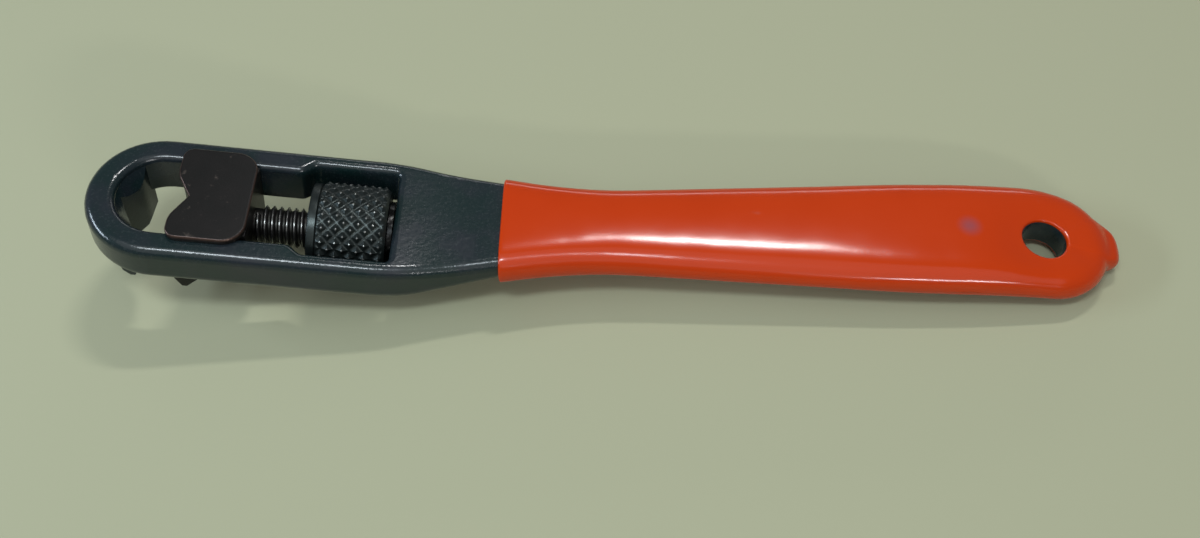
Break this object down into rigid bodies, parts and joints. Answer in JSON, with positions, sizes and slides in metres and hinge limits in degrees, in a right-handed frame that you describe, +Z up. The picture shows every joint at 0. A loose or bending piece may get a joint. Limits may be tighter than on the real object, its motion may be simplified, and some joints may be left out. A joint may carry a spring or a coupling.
{
  "type": "adjustable wrench",
  "caption": "Adjustable box-end wrench: closed forged loop with a fixed V jaw and a sliding V jaw moved by a knurled thumb nut on a screw, and a vinyl-dipped flat handle with a hanging hole.",
  "frame": {"origin": "bottom centre of the bounding box, on the surface that the wrench lies on", "axes": "+X from the jaws to the handle's end, +Y across the wrench, +Z up; the wrench lies at rest on its nut's rim and on the underside of the handle's end, so the head slopes down towards the nut"},
  "size_m": [0.2008, 0.028, 0.0263],
  "materials": {
    "black_oxide_steel": "black oxide, semi-gloss",
    "vinyl": "glossy dipped vinyl",
    "bright_steel": "bright, oiled",
    "nut_steel": "knurled, dark with worn tips",
    "jaw_steel": "brown-black oxide, satin",
    "screw_steel": "dark oxide thread, oiled"
  },
  "bodies": {
    "wrench": {"frame": "black_oxide_steel", "grip": "vinyl", "thrust_washer": "bright_steel"},
    "nut": {"knurled_nut": "nut_steel"},
    "jaw": {"sliding_jaw": "jaw_steel", "adjusting_screw": "screw_steel", "screw_pin": "jaw_steel"}
  },
  "joints": [
    {"name": "nut_spin", "type": "hinge", "parent": "wrench", "child": "nut", "pos_m": [-0.05178, 0, 0.01073], "axis": [0.9847, 0, -0.1745], "range_deg": [-1633, 1633]},
    {"name": "jaw_slide", "type": "slide", "parent": "wrench", "child": "jaw", "axis": [0.9847, 0, -0.1745], "range_m": [-0.0064, 0.0064]}
  ],
  "couplings": [
    {"joint": "nut_spin", "follows": "jaw_slide", "rad_per_m": -4453}
  ]
}
